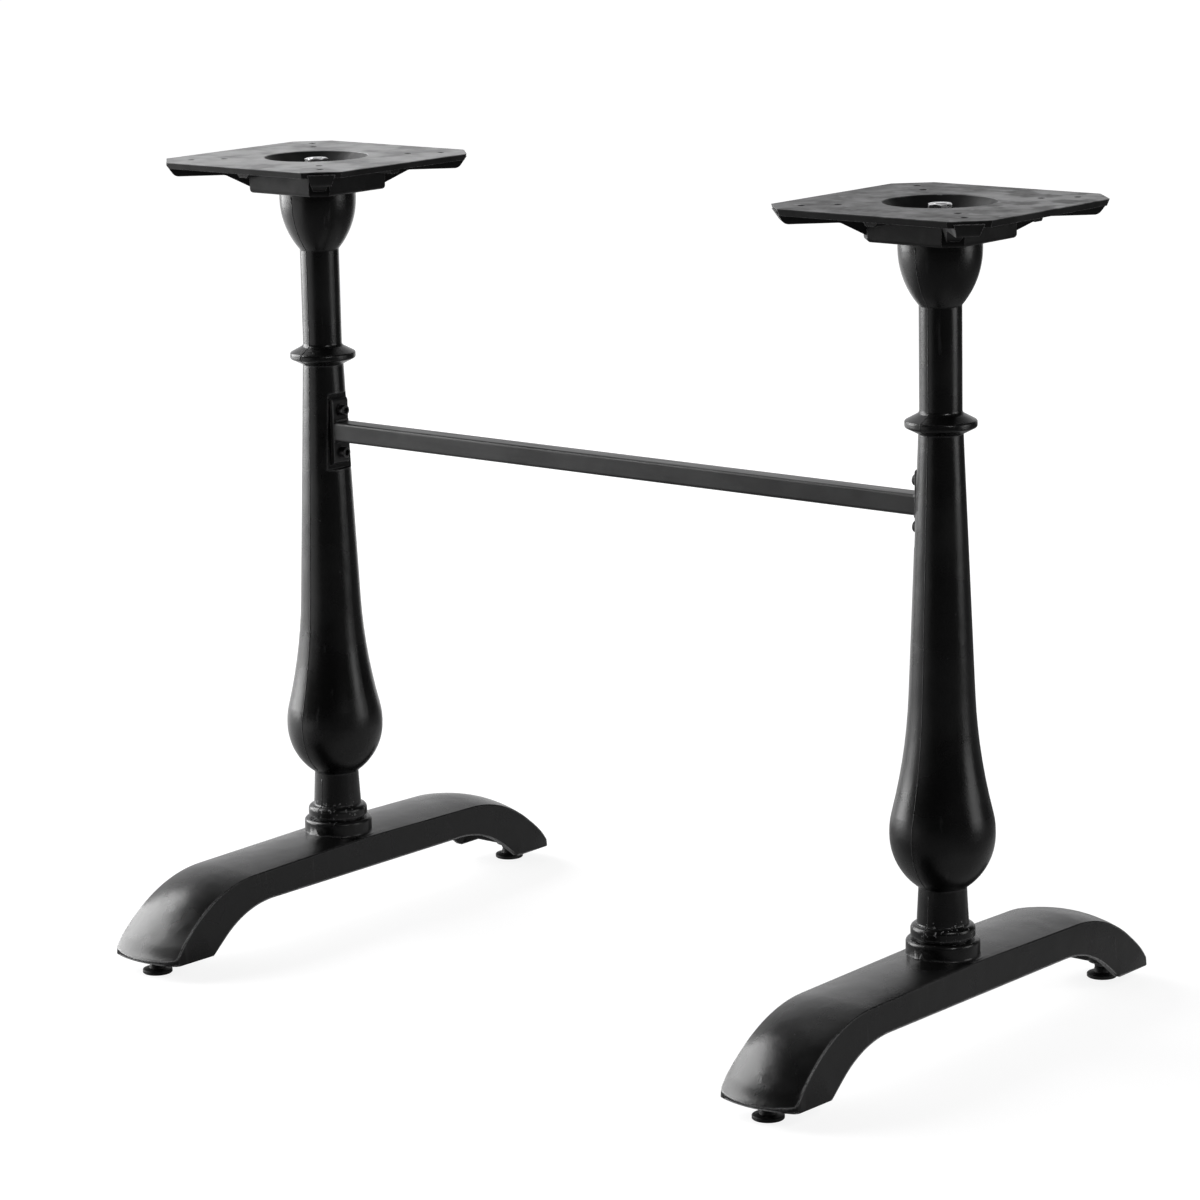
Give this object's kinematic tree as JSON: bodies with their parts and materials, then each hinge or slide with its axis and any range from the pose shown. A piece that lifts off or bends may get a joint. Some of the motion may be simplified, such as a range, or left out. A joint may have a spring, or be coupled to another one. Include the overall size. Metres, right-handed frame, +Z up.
{
  "type": "pedestal table base",
  "caption": "Table base with twin turned cast iron columns on arched feet, joined by a steel stretcher, with square top plates.",
  "frame": {"origin": "on the floor, midway between the two columns", "axes": "+X along the stretcher from the left column to the right one, +Y along the feet from the front toes to the back toes, +Z up"},
  "size_m": [0.92, 0.5356, 0.72],
  "materials": {
    "black_casting": "satin black paint over fine cast skin",
    "plate_casting": "satin black paint, rubbed and dusty on the top face",
    "black_steel": "satin black paint",
    "screw_steel": "black oxide",
    "zinc_steel": "bright zinc",
    "glide_plastic": "matt black"
  },
  "bodies": {
    "base": {"stretcher_tube": "black_steel", "left_foot": "black_casting", "left_column": "black_casting", "left_top_plate": "plate_casting", "left_tie_rod": "zinc_steel", "left_top_washer": "zinc_steel", "left_top_nut": "zinc_steel", "left_bottom_washer": "zinc_steel", "left_bottom_nut": "zinc_steel", "left_end_plate": "black_steel", "left_upper_screw_washer": "screw_steel", "left_upper_screw": "screw_steel", "left_lower_screw_washer": "screw_steel", "left_lower_screw": "screw_steel", "left_front_lock_nut": "screw_steel", "left_back_lock_nut": "screw_steel", "right_foot": "black_casting", "right_column": "black_casting", "right_top_plate": "plate_casting", "right_tie_rod": "zinc_steel", "right_top_washer": "zinc_steel", "right_top_nut": "zinc_steel", "right_bottom_washer": "zinc_steel", "right_bottom_nut": "zinc_steel", "right_end_plate": "black_steel", "right_upper_screw_washer": "screw_steel", "right_upper_screw": "screw_steel", "right_lower_screw_washer": "screw_steel", "right_lower_screw": "screw_steel", "right_front_lock_nut": "screw_steel", "right_back_lock_nut": "screw_steel"},
    "left_front_pad": {"left_front_glide_pad": "glide_plastic"},
    "left_front_stud": {"left_front_glide_stud": "zinc_steel"},
    "left_back_pad": {"left_back_glide_pad": "glide_plastic"},
    "left_back_stud": {"left_back_glide_stud": "zinc_steel"},
    "right_front_pad": {"right_front_glide_pad": "glide_plastic"},
    "right_front_stud": {"right_front_glide_stud": "zinc_steel"},
    "right_back_pad": {"right_back_glide_pad": "glide_plastic"},
    "right_back_stud": {"right_back_glide_stud": "zinc_steel"}
  },
  "joints": [
    {"name": "left_front_pad_travel", "type": "slide", "parent": "base", "child": "left_front_pad", "axis": [0, 0, -1], "range_m": [0, 0.0075]},
    {"name": "left_front_stud_turn", "type": "hinge", "parent": "left_front_pad", "child": "left_front_stud", "pos_m": [-0.35, -0.245, 0], "axis": [0, 0, -1], "range_deg": [0, 2160]},
    {"name": "left_back_pad_travel", "type": "slide", "parent": "base", "child": "left_back_pad", "axis": [0, 0, -1], "range_m": [0, 0.0075]},
    {"name": "left_back_stud_turn", "type": "hinge", "parent": "left_back_pad", "child": "left_back_stud", "pos_m": [-0.35, 0.245, 0], "axis": [0, 0, -1], "range_deg": [0, 2160]},
    {"name": "right_front_pad_travel", "type": "slide", "parent": "base", "child": "right_front_pad", "axis": [0, 0, -1], "range_m": [0, 0.0075]},
    {"name": "right_front_stud_turn", "type": "hinge", "parent": "right_front_pad", "child": "right_front_stud", "pos_m": [0.35, -0.245, 0], "axis": [0, 0, -1], "range_deg": [0, 2160]},
    {"name": "right_back_pad_travel", "type": "slide", "parent": "base", "child": "right_back_pad", "axis": [0, 0, -1], "range_m": [0, 0.0075]},
    {"name": "right_back_stud_turn", "type": "hinge", "parent": "right_back_pad", "child": "right_back_stud", "pos_m": [0.35, 0.245, 0], "axis": [0, 0, -1], "range_deg": [0, 2160]}
  ],
  "couplings": [
    {"joint": "left_front_stud_turn", "follows": "left_front_pad_travel", "rad_per_m": 5026.5},
    {"joint": "left_back_stud_turn", "follows": "left_back_pad_travel", "rad_per_m": 5026.5},
    {"joint": "right_front_stud_turn", "follows": "right_front_pad_travel", "rad_per_m": 5026.5},
    {"joint": "right_back_stud_turn", "follows": "right_back_pad_travel", "rad_per_m": 5026.5}
  ]
}
